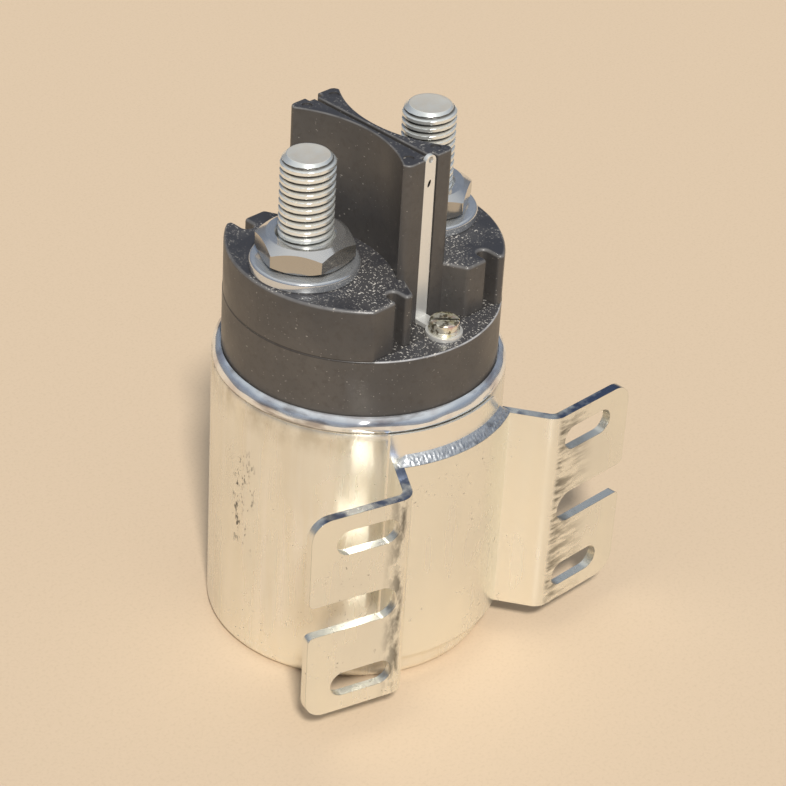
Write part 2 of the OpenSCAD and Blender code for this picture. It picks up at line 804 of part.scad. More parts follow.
// Push rod with the collar under the contact spring
module push_rod() {
  rod_z = plunger_top - rod_grip;
  color([0.80, 0.80, 0.78]) union() {
    disc_at(rod_z, rod_r, rod_top - rod_z);
    disc_at(collar_z, collar_d / 2, collar_t);
  }
}

// Retainer pressed on the rod, seat of the return spring
module rod_retainer() {
  color([0.75, 0.75, 0.72])
    ring_at(retainer_z, insulator_d / 2, rod_r + seat_gap, retainer_t);
}

// Copper bridge that joins the two stud heads
module contact_bridge() {
  end_r = bridge_w / 2;
  end_x = bridge_l / 2 - end_r;
  color([0.80, 0.47, 0.30]) difference() {
    union() {
      translate([-end_x, -end_r, bridge_z]) cube([2 * end_x, bridge_w, bridge_t]);
      for (s = [-1, 1]) translate([s * end_x, 0, 0]) disc_at(bridge_z, end_r, bridge_t);
    }
    disc_at(bridge_z - over, bush_r + seat_gap, bridge_t + 2 * over);
  }
}

// Flanged insulating bush through the bridge
module bridge_bush() {
  color([0.60, 0.25, 0.15]) difference() {
    union() {
      disc_at(bush_z, insulator_d / 2, insulator_t);
      disc_at(bush_z, bush_r, insulator_t + bridge_t);
    }
    disc_at(bush_z - over, rod_bore_r, bridge_t + insulator_t + 2 * over);
  }
}

// Insulating washer over the bridge
module bridge_washer() {
  color([0.62, 0.27, 0.17])
    ring_at(bridge_top, insulator_d / 2, rod_bore_r, insulator_t);
}

// Helical wire of a compression spring that fills the space between heights z0 and z1
module coil_spring(mean_r, wire, turns, z0, z1) {
  sides = 6;
  steps = 16 * turns;
  low = z0 + wire / 2 + seat_gap;
  high = z1 - wire / 2 - seat_gap;
  points = [for (i = [0:steps]) for (j = [0:sides - 1])
    let (t = i / steps, a = 360 * turns * t, b = 360 * j / sides, r = mean_r + wire / 2 * cos(b))
    [r * cos(a), r * sin(a), low + (high - low) * t + wire / 2 * sin(b)]];
  walls = [for (i = [0:steps - 1]) for (j = [0:sides - 1]) for (k = [0, 1])
    let (n = (j + 1) % sides, a = i * sides, b = (i + 1) * sides)
    k == 0 ? [a + j, b + j, b + n] : [a + j, b + n, a + n]];
  first = [for (j = [1:sides - 2]) [0, j, j + 1]];
  last = [for (j = [1:sides - 2]) [steps * sides, steps * sides + j + 1, steps * sides + j]];
  polyhedron(points = points, faces = concat(walls, first, last));
}

module return_spring() {
  color([0.70, 0.70, 0.68])
    coil_spring(spring_r, return_wire, return_turns, retainer_top, pocket_top);
}

module contact_spring() {
  color([0.70, 0.70, 0.68])
    coil_spring(spring_r, contact_wire, contact_turns, collar_top, bush_z);
}

can();
bracket();
bracket_pad();
bracket_weld();
cap();
cap_gasket();
yoke_plate();
bobbin();
coil_winding();
coil_tape();
guide_tube();
pole_core();
plunger_cushion();
coil_leads();
lead_grommets();
terminal_inserts();
terminal_screws();
terminal_blade();
terminal_washer();
stud_left();
stud_right();
stud_nuts();
stud_washers();
plunger();
push_rod();
rod_retainer();
contact_bridge();
bridge_bush();
bridge_washer();
return_spring();
contact_spring();
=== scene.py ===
"""Dressed model of the DC power relay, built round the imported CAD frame.

Meshes are made in millimetres and scaled to metres at the end, paints are written in metres. Every
mesh lies where the CAD says, with its object at the origin."""
import json
import math

import bmesh
import bpy
from mathutils import Matrix, Vector, noise

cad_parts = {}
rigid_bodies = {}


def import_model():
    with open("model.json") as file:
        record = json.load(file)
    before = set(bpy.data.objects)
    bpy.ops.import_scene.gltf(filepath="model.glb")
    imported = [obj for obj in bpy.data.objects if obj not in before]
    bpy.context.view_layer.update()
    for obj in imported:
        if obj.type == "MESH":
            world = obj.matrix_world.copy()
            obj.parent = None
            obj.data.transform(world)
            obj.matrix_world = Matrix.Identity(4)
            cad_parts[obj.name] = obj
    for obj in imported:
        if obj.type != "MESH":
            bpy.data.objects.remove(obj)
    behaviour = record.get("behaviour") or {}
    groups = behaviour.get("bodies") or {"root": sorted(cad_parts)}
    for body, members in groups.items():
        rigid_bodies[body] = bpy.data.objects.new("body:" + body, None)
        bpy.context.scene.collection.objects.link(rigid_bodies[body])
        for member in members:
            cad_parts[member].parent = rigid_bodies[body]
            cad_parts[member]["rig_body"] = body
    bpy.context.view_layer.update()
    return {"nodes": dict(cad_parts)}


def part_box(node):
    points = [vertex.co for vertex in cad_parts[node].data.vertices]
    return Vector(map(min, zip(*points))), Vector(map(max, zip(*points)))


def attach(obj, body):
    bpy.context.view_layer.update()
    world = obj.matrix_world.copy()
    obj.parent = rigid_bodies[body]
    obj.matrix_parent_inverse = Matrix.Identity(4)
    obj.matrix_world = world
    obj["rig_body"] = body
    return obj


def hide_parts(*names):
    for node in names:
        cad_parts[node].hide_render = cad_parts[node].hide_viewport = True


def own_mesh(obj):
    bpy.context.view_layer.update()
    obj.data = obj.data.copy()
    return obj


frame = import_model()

MM = 0.001
nodes = frame["nodes"]

# Sizes that several pieces share, as the CAD source has them
RIM_DEPTH = 2.9
STUD_X = 15.1
STUD_HOLE_R = 5.04
TERMINAL_Y = 21
RECESS_Z = 70.1
LOBE_Z = 80.4
POCKET_R = 6.0
POCKET_TOP = 74.4
BLADE_T = 0.8
BLADE_FRONT = -15.1
# The cap's upright cutters reach from its hollow to over its lobes
CUT_BOTTOM = 60
CUT_TOP = 90


def low(node):
    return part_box(node)[0] / MM


def high(node):
    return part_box(node)[1] / MM


# ---- Camera: the photograph's place, fitted in the CAD frame ----
RIGHT = Vector((0.70952, -0.70283, 0.05115))
UP = Vector((0.35414, 0.41837, 0.83639))
BACK = Vector((-0.60924, -0.57532, 0.54574))
PLACE = Vector((-0.311182, -0.303234, 0.330230))
cam_data = bpy.data.cameras.new("camera")
cam_data.sensor_fit = "HORIZONTAL"
cam_data.sensor_width = 36
cam_data.lens = 126.1
cam_data.clip_start = 0.01
cam_data.clip_end = 20
camera = bpy.data.objects.new("camera", cam_data)
bpy.context.scene.collection.objects.link(camera)
camera.matrix_world = Matrix(((RIGHT.x, UP.x, BACK.x, PLACE.x), (RIGHT.y, UP.y, BACK.y, PLACE.y),
                              (RIGHT.z, UP.z, BACK.z, PLACE.z), (0, 0, 0, 1)))
bpy.context.scene.camera = camera


# ---- Materials ----
def srgb(r, g, b):
    def lin(c):
        c /= 255
        return c / 12.92 if c <= 0.04045 else ((c + 0.055) / 1.055) ** 2.4
    return (lin(r), lin(g), lin(b), 1.0)


def shade(colour, factor):
    """The colour made darker, or brighter up to white."""
    return tuple(min(1, c * factor) for c in colour[:3]) + (1,)


class Paint:
    """A node material. Its texture coordinates are the piece's own, in metres."""

    def __init__(self, name, base, metallic=0.0, rough=0.5):
        self.mat = bpy.data.materials.new(name)
        self.mat.use_nodes = True
        self.tree = self.mat.node_tree
        self.bsdf = self.tree.nodes["Principled BSDF"]
        self.bsdf.inputs["Metallic"].default_value = metallic
        self.coord = self.add("ShaderNodeTexCoord").outputs["Object"]
        self.colour = base
        self.rough = rough
        self.normal = None

    def add(self, kind, props=None, **values):
        node = self.tree.nodes.new(kind)
        for key, value in (props or {}).items():
            setattr(node, key, value)
        for key, value in values.items():
            self.put(node, key.replace("_", " "), value)
        return node

    def put(self, node, key, value):
        """Links a socket or sets a plain value; a key of digits is the socket's number."""
        socket = node.inputs[int(key)] if key.isdigit() else node.inputs[key]
        if isinstance(value, bpy.types.NodeSocket):
            self.tree.links.new(value, socket)
        else:
            socket.default_value = value

    # Values to paint with
    def stretched(self, scale):
        node = self.add("ShaderNodeMapping")
        self.put(node, "Vector", self.coord)
        self.put(node, "Scale", scale)
        return node.outputs["Vector"]

    def noise(self, scale, detail=3.0, stretch=None, rough=0.55):
        place = self.stretched(stretch) if stretch else self.coord
        return self.add("ShaderNodeTexNoise", Vector=place, Scale=scale, Detail=detail,
                        Roughness=rough).outputs["Fac"]

    def along(self, direction, offset=0.0):
        """Distance along a direction, in metres."""
        node = self.add("ShaderNodeVectorMath", {"operation": "DOT_PRODUCT"})
        self.put(node, "0", self.coord)
        self.put(node, "1", direction)
        return self.calc("SUBTRACT", node.outputs["Value"], offset)

    def facing_up(self):
        normal = self.add("ShaderNodeNewGeometry").outputs["Normal"]
        return self.add("ShaderNodeSeparateXYZ", Vector=normal).outputs["Z"]

    def written(self, name):
        """A value that the mesh carries: "groove" on its points or "edge" on its faces."""
        return self.add("ShaderNodeAttribute", {"attribute_name": name}).outputs["Fac"]

    def ramp(self, value, a, b, c=0.0, d=1.0):
        """Maps a to c and b to d, and stays at c and d beyond them."""
        node = self.add("ShaderNodeMapRange", {"clamp": True}, Value=value)
        for key, v in (("From Min", a), ("From Max", b), ("To Min", c), ("To Max", d)):
            self.put(node, key, v)
        return node.outputs["Result"]

    def band(self, value, a, b, c, d):
        """1 from b to c, fading to 0 at a and at d."""
        return self.times(self.ramp(value, a, b), self.ramp(value, d, c))

    def calc(self, op, a, b=0.0):
        node = self.add("ShaderNodeMath", {"operation": op})
        self.put(node, "0", a)
        self.put(node, "1", b)
        return node.outputs[0]

    def times(self, product, *factors):
        for factor in factors:
            product = self.calc("MULTIPLY", product, factor)
        return product

    # What they change
    def tint(self, factor, colour):
        """Lays a colour over what is there, where factor is above 0."""
        node = self.add("ShaderNodeMix", {"data_type": "RGBA"})
        self.put(node, "0", factor)
        self.put(node, "6", self.colour)
        self.put(node, "7", colour)
        self.colour = node.outputs[2]

    def roughen(self, factor, amount):
        self.rough = self.calc("ADD", self.rough, self.times(factor, amount))

    def bump(self, value, size, strength=1.0):
        node = self.add("ShaderNodeBump", Height=value, Distance=size, Strength=strength)
        if self.normal is not None:
            self.put(node, "Normal", self.normal)
        self.normal = node.outputs["Normal"]

    def brush(self, amount):
        """Fine lines round the Z axis, which draw highlights out upright."""
        node = self.add("ShaderNodeTangent", {"direction_type": "RADIAL", "axis": "Z"})
        self.put(self.bsdf, "Tangent", node.outputs["Tangent"])
        self.put(self.bsdf, "Anisotropic", amount)
        self.put(self.bsdf, "Anisotropic Rotation", 0.25)

    def done(self):
        self.put(self.bsdf, "Base Color", self.colour)
        self.put(self.bsdf, "Roughness", self.rough)
        if self.normal is not None:
            self.put(self.bsdf, "Normal", self.normal)
        return self.mat


def zinc(name, base, rough, streaks=(900, 900, 60), scuffs=0.5, metallic=0.85, relief=0.2):
    """Bright zinc plating: cloudy, faintly drawn, with scuffs and fine pits."""
    p = Paint(name, base, metallic, rough)
    cloud = p.noise(55, 3)
    drawn = p.noise(1, 3, stretch=streaks)
    pits = p.noise(2600, 2)
    p.tint(p.ramp(cloud, 0.35, 0.7, 0, 0.3), shade(base, 0.88))
    p.tint(p.ramp(drawn, 0.45, 0.75, 0, 0.25), shade(base, 1.07))
    speck = p.times(p.ramp(p.noise(1500, 2), 0.66, 0.74), p.ramp(p.noise(90, 2), 0.5, 0.62))
    p.tint(p.times(speck, scuffs), srgb(120, 112, 100))
    p.roughen(p.ramp(cloud, 0.3, 0.7, -1, 1), 0.05)
    p.roughen(p.ramp(drawn, 0.3, 0.7, -1, 1), 0.03)
    p.roughen(speck, 0.2)
    p.bump(drawn, 0.00001, 0.4 * relief)
    p.bump(pits, 0.00001, relief)
    return p


def can_paint():
    p = zinc("can_plating", (0.95, 0.93, 0.84, 1), rough=0.27, streaks=(420, 420, 14),
             metallic=0.86, relief=0.04)
    p.brush(0.85)
    dull = p.noise(1, 4, stretch=(300, 300, 45))
    p.tint(p.ramp(dull, 0.50, 0.66, 0, 0.22), (0.84, 0.77, 0.62, 1))
    bright = p.noise(1, 5, stretch=(500, 500, 30), rough=0.5)
    p.tint(p.ramp(bright, 0.50, 0.70, 0, 0.5), (0.99, 0.98, 0.94, 1))
    z = p.along((0, 0, 1))
    crease = (high("can").z - RIM_DEPTH) * MM

    # Dark scuffs on the left of the can, where it was knocked
    side = p.ramp(p.along((-0.9988, 0.049, 0)), 0.02728, 0.02742)
    knock = p.ramp(p.noise(1, 4, stretch=(1000, 1000, 480), rough=0.7), 0.56, 0.62)
    knock = p.times(knock, side, p.band(z, 0.022, 0.027, 0.040, 0.047))
    p.tint(p.times(knock, 0.8), srgb(96, 90, 80))
    p.roughen(knock, 0.25)

    # Brown bloom under the roll, on the left and in front
    left = p.ramp(p.along((1, 0.35, 0)), 0.004, -0.008)
    bloom = p.ramp(p.noise(1, 4, stretch=(240, 240, 160), rough=0.6), 0.40, 0.62)
    bloom = p.times(bloom, left, p.ramp(z, crease - 0.0064, crease - 0.0019))
    p.tint(p.times(bloom, 0.6), (0.60, 0.55, 0.44, 1))

    # The roll is polished and faintly dented by its tool, and painted reflections lie on it: darker
    # mauve patches, and pinkish spots low down
    roll = p.ramp(z, crease - 0.0002, crease + 0.0003)
    p.tint(roll, (0.95, 0.98, 1.0, 1))
    # Painted reflection: darker mauve patches on the roll
    reflection_patch = p.ramp(p.noise(1, 3, stretch=(95, 95, 420)), 0.53, 0.64, 0, 0.7)
    p.tint(p.times(roll, reflection_patch), srgb(150, 142, 140))
    p.roughen(roll, -0.15)
    p.bump(p.times(roll, p.noise(1, 1, stretch=(115, 115, 260))), 0.0011, 0.7)
    low_roll = p.ramp(z, crease - 0.0011, crease + 0.0003)
    # Painted reflection: pinkish spots low on the roll
    reddish_reflection = p.times(low_roll, p.ramp(p.noise(160, 3), 0.48, 0.66))
    p.tint(p.times(reddish_reflection, 0.4), srgb(186, 168, 170))
    return p.done()


def bracket_paint():
    p = zinc("bracket_plating", (0.94, 0.925, 0.84, 1), rough=0.25, streaks=(420, 420, 30),
             metallic=0.88, relief=0.05)
    p.brush(0.85)

    # Grime rubbed along both bends, on the flange side: wide on the right, narrow on the left
    front = p.ramp(p.along((0, -1, 0)), 0.0270, 0.0280)
    bends = (((1, 0, 0), 0.01926, 0.0110, (150, 150, 620)),
             ((-0.9622, 0.2723, 0), 0.00953, 0.0050, (520, 520, 230)))
    for outwards, bend, reach, grain in bends:
        strip = p.band(p.along(outwards, bend), 0.0002, 0.0010, 0.0014, reach)
        blotch = p.ramp(p.noise(1, 5, stretch=grain, rough=0.62), 0.43, 0.60)
        grime = p.times(strip, front, blotch)
        p.tint(p.times(grime, 0.75), srgb(112, 103, 84))
        p.roughen(grime, 0.2)

    # Sheared edges: a painted dark blue sky reflection along the top, broken by brighter patches,
    # and painted dark reflection where they're rounded
    up = p.ramp(p.facing_up(), 0.6, 0.9)
    top = high("bracket").z * MM
    rim = p.times(up, p.ramp(p.along((0, 0, 1)), top - 0.003, top - 0.001, 0.05, 1))
    p.tint(p.times(rim, p.ramp(p.noise(190, 3), 0.42, 0.56, 0.95, 0.1)), srgb(88, 102, 132))
    # Painted dark reflection on the rounded edges
    edge = p.written("edge")
    p.tint(p.times(edge, 0.85), srgb(84, 86, 90))
    p.roughen(edge, -0.05)
    return p.done()


def weld_paint():
    p = Paint("weld_metal", (0.62, 0.64, 0.66, 1), 0.85, 0.34)
    p.tint(p.ramp(p.noise(1500, 3), 0.56, 0.64), srgb(232, 234, 234))
    p.tint(p.ramp(p.noise(420, 3), 0.56, 0.7, 0, 0.6), srgb(110, 112, 118))
    p.roughen(p.ramp(p.noise(1400, 2), 0.35, 0.7, -1, 1), 0.12)
    p.bump(p.noise(1700, 3), 0.00014, 0.5)
    return p.done()


def cap_paint():
    """Dark glass-filled plastic with a fine grain, rubbed edges and dust."""
    p = Paint("cap_plastic", srgb(70, 68, 67), rough=0.35)
    p.tint(p.ramp(p.noise(60, 3), 0.35, 0.7, 0, 0.6), srgb(93, 88, 83))
    p.tint(p.ramp(p.noise(900, 2), 0.5, 0.72, 0, 0.35), srgb(60, 55, 52))
    # Painted shade: the tops are darker than the walls; the rounded edges carry a pale painted
    # highlight
    facing = p.facing_up()
    p.tint(p.ramp(facing, 0.5, 0.9, 0, 0.85), srgb(52, 52, 57))
    edge_highlight = p.times(p.band(facing, 0.15, 0.5, 0.85, 0.98), p.ramp(p.noise(300, 3), 0.3, 0.6, 0.4, 1))
    p.tint(p.times(edge_highlight, 0.45), srgb(140, 138, 136))

    # Skirt's top edge: a painted highlight at the recesses, a painted dark line of shade under the
    # lobes
    height = p.along((0, 0, 1), RECESS_Z * MM)
    step = p.band(height, -0.00040, -0.00032, 0.00006, 0.00012)
    bare = p.ramp(p.calc("ABSOLUTE", p.along((0, 1, 0))), 0.0197, 0.0200)
    p.tint(p.times(step, bare, edge_highlight, 0.7), srgb(200, 200, 202))
    p.tint(p.times(step, p.ramp(bare, 0, 1, 0.7, 0)), srgb(34, 31, 30))
    p.roughen(p.ramp(p.noise(150, 3), 0.3, 0.7, -1, 1), 0.07)
    p.bump(p.noise(3200, 2), 0.00004, 0.35)
    p.bump(p.noise(380, 2), 0.00010, 0.12)

    # Dust: oblong grains of four sizes, clumped on the lobes, thick in the recesses, thin on the
    # divider's top, and a few on the walls
    up = p.times(p.ramp(facing, 0.55, 0.85), p.ramp(height, 0.0299, 0.0199, 0.45, 1))
    recess = p.ramp(height, 0.0019, 0.0009, 0, 0.85)
    clump = p.calc("MAXIMUM", p.ramp(p.noise(120, 3), 0.40, 0.60), recess)
    long_x, long_y = (0.45, 1, 1), (1, 0.4, 1)
    for scale, size, share, stretch in ((1000, 0.17, 1.0, long_x), (1500, 0.19, 0.95, long_y),
                                        (2200, 0.22, 0.9, long_x), (3400, 0.26, 0.8, long_y)):
        cell = p.add("ShaderNodeTexVoronoi", Vector=p.stretched(stretch), Scale=scale)
        dot = p.ramp(cell.outputs["Distance"], size, size * 0.7)
        pick = p.add("ShaderNodeSeparateXYZ", Vector=cell.outputs["Color"])
        on_top = p.times(up, clump, p.ramp(pick.outputs["X"], 0.22, 0.26))
        on_wall = p.times(p.ramp(pick.outputs["Y"], 0.95, 0.96), 0.35)
        dust = p.times(dot, p.calc("MAXIMUM", on_top, on_wall), share)
        p.tint(dust, srgb(216, 210, 200))
        p.roughen(dust, 0.4)
    p.tint(p.times(up, clump, 0.08), srgb(170, 166, 160))
    return p.done()


def thread_paint():
    """Plating with a duller tip, a painted warm sunlit tone on the tip and painted shade in the
    thread's roots.
    """
    p = zinc("stud_plating", (0.89, 0.91, 0.88, 1), rough=0.25, streaks=(300, 300, 300),
             scuffs=0.4, metallic=0.68)
    # Painted warm sunlit tone on the tip, which is also rougher
    tip = p.ramp(p.facing_up(), 0.93, 0.98)
    p.tint(p.times(tip, p.ramp(p.noise(420, 3), 0.35, 0.65, 0.45, 0.75)), (0.84, 0.74, 0.60, 1))
    p.roughen(tip, 0.25)
    # Painted shade in the thread's roots
    root = p.ramp(p.written("groove"), 0.35, 0.85)
    p.tint(p.times(root, 0.85), srgb(70, 66, 62))
    p.roughen(root, 0.2)
    return p.done()


def nut_paint():
    """Plating with painted shade on the flats, brighter on the faces."""
    p = zinc("nut_plating", (0.78, 0.77, 0.75, 1), rough=0.13, streaks=(400, 400, 400),
             metallic=0.88)
    # Painted shade on the flats
    p.tint(p.times(p.ramp(p.facing_up(), 0.45, 0.15), 0.65), srgb(162, 157, 146))
    return p.done()


def screw_paint():
    """Yellow-passivated plating with its changing tints and dirt, and painted shade in the driver
    slot.
    """
    p = zinc("screw_plating", srgb(232, 228, 212), rough=0.22, streaks=(400, 400, 400),
             scuffs=0.6, metallic=0.68)
    p.tint(p.ramp(p.noise(650, 2), 0.46, 0.62, 0, 0.6), srgb(206, 196, 132))
    p.tint(p.ramp(p.noise(480, 2), 0.54, 0.66, 0, 0.7), srgb(206, 164, 166))
    p.tint(p.ramp(p.noise(820, 3), 0.50, 0.57, 0, 0.85), srgb(92, 80, 60))
    # Painted shade in the driver slot
    p.tint(p.ramp(p.written("groove"), 0.02, 0.3), srgb(34, 29, 24))
    p.bump(p.noise(900, 3), 0.00008, 0.6)
    return p.done()


def blade_paint():
    """Tin plating, with painted shade in the slit and half as much in the dimple, which is also
    duller.
    """
    p = zinc("blade_tin", srgb(240, 239, 234), rough=0.34, streaks=(900, 900, 80), scuffs=0.7,
             metallic=0.6)
    # Painted shade in the slit, half as strong in the dimple
    groove = p.written("groove")
    p.tint(groove, srgb(46, 41, 38))
    p.roughen(groove, 0.3)
    return p.done()


def simple(name, base, metallic, rough, grain=900, bump=0.00005):
    """One even material with a faint cloud and a fine grain."""
    p = Paint(name, base, metallic, rough)
    p.tint(p.ramp(p.noise(grain / 8, 3), 0.35, 0.7), shade(base, 0.85))
    p.roughen(p.ramp(p.noise(grain / 3, 2), 0.3, 0.7, -1, 1), 0.06)
    p.bump(p.noise(grain, 3), bump, 0.3)
    return p


def wound(name, base, metallic, rough, pitch):
    """Layers of wire or turns of tape: fine ridges round the axis, with painted shade between them.
    """
    p = simple(name, base, metallic, rough)
    wave = p.add("ShaderNodeTexWave", {"wave_type": "BANDS", "bands_direction": "Z"},
                 Vector=p.coord, Scale=math.pi / (10 * pitch)).outputs["Fac"]
    # Painted shade between the turns
    p.tint(p.ramp(wave, 0.3, 0.0, 0, 0.5), shade(base, 0.5))
    p.bump(wave, 0.0002, 0.6)
    return p


MATS = {
    "can": can_paint(),
    "bracket": bracket_paint(),
    "bracket_weld": weld_paint(),
    "cap": cap_paint(),
    "stud": thread_paint(),
    "nut": nut_paint(),
    "washer": zinc("washer_plating", (0.72, 0.74, 0.76, 1), rough=0.16, streaks=(500, 500, 500),
                   metallic=0.80).done(),
    "pad": zinc("pad_plating", (0.94, 0.91, 0.83, 1), rough=0.25, streaks=(600, 600, 20),
                metallic=0.84, relief=0.05).done(),
    "screw": screw_paint(),
    "blade": blade_paint(),
    "steel": simple("turned_steel", srgb(176, 176, 172), 1.0, 0.32).done(),
    "brass": simple("brass", srgb(214, 178, 96), 1.0, 0.28).done(),
    "copper": simple("bridge_copper", srgb(204, 128, 84), 1.0, 0.30).done(),
    "coil": wound("enamelled_wire", srgb(176, 84, 40), 0.6, 0.3, pitch=0.0007).done(),
    "tape": wound("coil_tape_film", srgb(214, 186, 90), 0.0, 0.4, pitch=0.006).done(),
    "nylon": simple("bobbin_nylon", srgb(226, 220, 200), 0.0, 0.45).done(),
    "rubber": simple("black_rubber", srgb(38, 38, 38), 0.0, 0.7, grain=1600, bump=0.0001).done(),
    "lead": simple("lead_sleeve", srgb(176, 30, 26), 0.0, 0.45).done(),
    "phenolic": simple("phenolic", srgb(112, 66, 42), 0.0, 0.4).done(),
    "spring": simple("spring_wire", srgb(190, 190, 188), 1.0, 0.25).done(),
}
FINISH = {
    "can": "can", "bracket": "bracket", "bracket_pad": "pad", "bracket_weld": "bracket_weld",
    "cap": "cap", "stud_left": "stud", "stud_right": "stud", "stud_nuts": "nut",
    "stud_washers": "washer", "terminal_screws": "screw", "terminal_blade": "blade",
    "terminal_washer": "washer", "terminal_inserts": "brass", "guide_tube": "brass",
    "yoke_plate": "steel", "pole_core": "steel", "plunger": "steel", "push_rod": "steel",
    "rod_retainer": "steel", "contact_bridge": "copper", "coil_winding": "coil",
    "coil_tape": "tape", "bobbin": "nylon", "lead_grommets": "nylon", "cap_gasket": "rubber",
    "plunger_cushion": "rubber", "coil_leads": "lead", "bridge_bush": "phenolic",
    "bridge_washer": "phenolic", "return_spring": "spring", "contact_spring": "spring",
}
for name, piece in nodes.items():
    for slot in piece.material_slots:
        slot.material = MATS[FINISH[name]]
    if not piece.material_slots:
        piece.data.materials.append(MATS[FINISH[name]])


# ---- Mesh making ----
def finish_mesh(name, bm, stands_for, sharp=32, weighted=True):
    """Makes the piece from bm, whose points are in millimetres, and puts it in a node's place.

    Edges that turn by sharp degrees or more are shaded hard, and weighted evens out the shading
    of large faces."""
    bmesh.ops.scale(bm, vec=(MM, MM, MM), verts=bm.verts)
    bmesh.ops.recalc_face_normals(bm, faces=bm.faces)
    for face in bm.faces:
        face.smooth = True
    for edge in bm.edges:
        edge.smooth = edge.calc_face_angle(0) < math.radians(sharp)
    mesh = bpy.data.meshes.new(name)
    bm.to_mesh(mesh)
    bm.free()
    mesh.materials.append(MATS[FINISH[stands_for]])
    piece = bpy.data.objects.new(name, mesh)
    bpy.context.scene.collection.objects.link(piece)
    if weighted:
        modifier = piece.modifiers.new("even_shading", "WEIGHTED_NORMAL")
        modifier.keep_sharp = True
        modifier.weight = 80
    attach(piece, nodes[stands_for]["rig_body"])
    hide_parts(stands_for)
    return piece


def write_painted_shade(piece, values):
    """Marks each point of the mesh with its painted shade, from 0 on the surface to 1 in a groove.
    """
    layer = piece.data.attributes.new("groove", "FLOAT", "POINT")
    layer.data.foreach_set("value", values)


def skin(bm, rings):
    """Faces between each closed ring of points and the next."""
    for a, b in zip(rings, rings[1:]):
        for i in range(len(a)):
            j = (i + 1) % len(a)
            bm.faces.new((a[i], a[j], b[j], b[i]))


def lathe(bm, profile, closed=False, n=160, centre=(0, 0)):
    """Turns a half section of (radius, height) points round the Z axis through centre."""
    rings = []
    for r, z in profile:
        if r < 1e-6:
            rings.append([bm.verts.new((centre[0], centre[1], z))])
        else:
            rings.append([bm.verts.new((centre[0] + r * math.cos(2 * math.pi * i / n),
                                        centre[1] + r * math.sin(2 * math.pi * i / n), z))
                          for i in range(n)])
    pairs = list(zip(rings, rings[1:])) + ([(rings[-1], rings[0])] if closed else [])
    for a, b in pairs:
        for i in range(n):
            j = (i + 1) % n
            corners = [a[i % len(a)], a[j % len(a)], b[j % len(b)], b[i % len(b)]]
            corners = [v for k, v in enumerate(corners) if v not in corners[:k]]
            if len(corners) > 2:
                bm.faces.new(corners)


def arc(cx, cy, r, a, b, steps=8):
    """Points on a circle from angle a to angle b, in degrees."""
    return [(cx + r * math.cos(math.radians(a + (b - a) * i / steps)),
             cy + r * math.sin(math.radians(a + (b - a) * i / steps))) for i in range(steps + 1)]


def cad_copy(node):
    """The node's own solids as clean faces, in millimetres."""
    bm = bmesh.new()
    bm.from_mesh(nodes[node].data)
    bmesh.ops.scale(bm, vec=(1 / MM,) * 3, verts=bm.verts)
    bmesh.ops.remove_doubles(bm, verts=bm.verts, dist=0.002)
    return bm


def carve(bm, cutters):
    """Takes the cutters' volume away from bm."""
    made = []
    for part in [bm] + cutters:
        mesh = bpy.data.meshes.new("carving")
        bmesh.ops.recalc_face_normals(part, faces=part.faces)
        part.to_mesh(mesh)
        part.free()
        thing = bpy.data.objects.new("carving", mesh)
        bpy.context.scene.collection.objects.link(thing)
        made.append(thing)
    for cutter in made[1:]:
        modifier = made[0].modifiers.new("cut", "BOOLEAN")
        modifier.operation = "DIFFERENCE"
        modifier.solver = "EXACT"
        modifier.object = cutter
    bpy.context.view_layer.update()
    shape = made[0].evaluated_get(bpy.context.evaluated_depsgraph_get())
    result = bmesh.new()
    result.from_mesh(shape.to_mesh())
    shape.to_mesh_clear()
    for thing in made:
        mesh = thing.data
        bpy.data.objects.remove(thing)
        bpy.data.meshes.remove(mesh)
    bmesh.ops.remove_doubles(result, verts=result.verts, dist=0.002)
    return result


def join(*parts):
    """One mesh of several closed ones."""
    whole = bmesh.new()
    for part in parts:
        mesh = bpy.data.meshes.new("joining")
        part.to_mesh(mesh)
        part.free()
        whole.from_mesh(mesh)
        bpy.data.meshes.remove(mesh)
    return whole


def round_edges(bm, width, steps, sharp):
    """Merges what is flat, then rounds the sharp outer edges and marks them for the paint."""
    # The layer comes first: adding it after the bevel would lose the bevel's faces
    layer = bm.faces.layers.float.new("edge")
    bmesh.ops.dissolve_limit(bm, angle_limit=math.radians(0.6), verts=bm.verts, edges=bm.edges)
    bm.normal_update()
    edges = [e for e in bm.edges if len(e.link_faces) == 2 and e.is_convex
             and e.calc_face_angle(0) > math.radians(sharp)]
    made = bmesh.ops.bevel(bm, geom=edges, offset=width, offset_type="OFFSET", segments=steps,
                           profile=0.5, affect="EDGES", clamp_overlap=True)
    for face in made["faces"]:
        face[layer] = 1


def peg(radius, x, y, z0, z1, n=24):
    bm = bmesh.new()
    lathe(bm, [(0, z0), (radius, z0), (radius, z1), (0, z1)], n=n, centre=(x, y))
    return bm


def block(lo, hi, turn=0.0, about=(0, 0)):
    """Box between two corners, turned by some degrees about an upright line."""
    bm = bmesh.new()
    bmesh.ops.create_cube(bm, size=1)
    size = [b - a for a, b in zip(lo, hi)]
    middle = [(a + b) / 2 for a, b in zip(lo, hi)]
    bmesh.ops.scale(bm, vec=size, verts=bm.verts)
    bmesh.ops.translate(bm, vec=middle, verts=bm.verts)
    bmesh.ops.rotate(bm, cent=(about[0], about[1], 0),
                     matrix=Matrix.Rotation(math.radians(turn), 3, "Z"), verts=bm.verts)
    return bm


